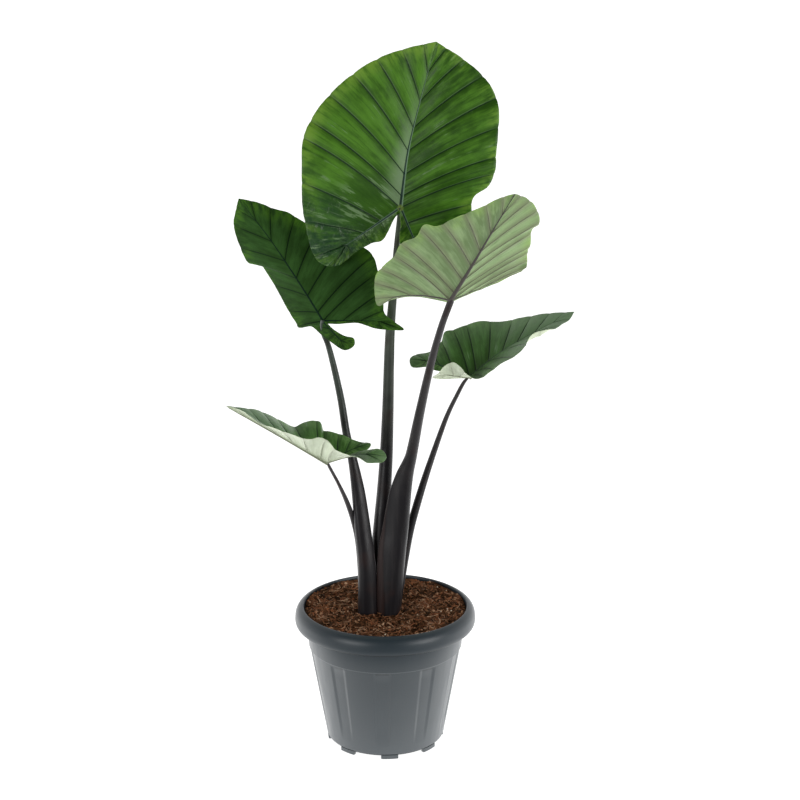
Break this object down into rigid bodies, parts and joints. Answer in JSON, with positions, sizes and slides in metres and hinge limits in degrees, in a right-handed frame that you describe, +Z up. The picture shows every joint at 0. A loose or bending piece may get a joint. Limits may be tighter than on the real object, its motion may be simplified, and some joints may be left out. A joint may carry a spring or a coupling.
{
  "type": "potted alocasia",
  "caption": "Tall potted alocasia: ribbed shield leaves on dark sheathing stems that stand in potting mix in a round fluted nursery pot.",
  "frame": {"origin": "on the pot's axis, on the surface that the pot's feet stand on", "axes": "+Z up along the pot's axis, -Y towards the side that shows the tall leaf's upper face, +X to the right as seen from there"},
  "size_m": [0.4626, 0.2496, 0.961],
  "materials": {
    "pot": "dark blue-grey moulded polypropylene, satin",
    "soil": "brown coir and peat potting mix, matt and fibrous",
    "stem": "near-black purple plant skin, satin",
    "leaf": "deep green waxy upper face, pale green under face, satin"
  },
  "bodies": {
    "root": {"pot": "pot", "soil": "soil", "stem_top": "stem", "stem_fore": "stem", "stem_left": "stem", "stem_right": "stem", "stem_low": "stem", "leaf_top": "leaf", "leaf_fore": "leaf", "leaf_left": "leaf", "leaf_right": "leaf", "leaf_low": "leaf"}
  },
  "joints": []
}
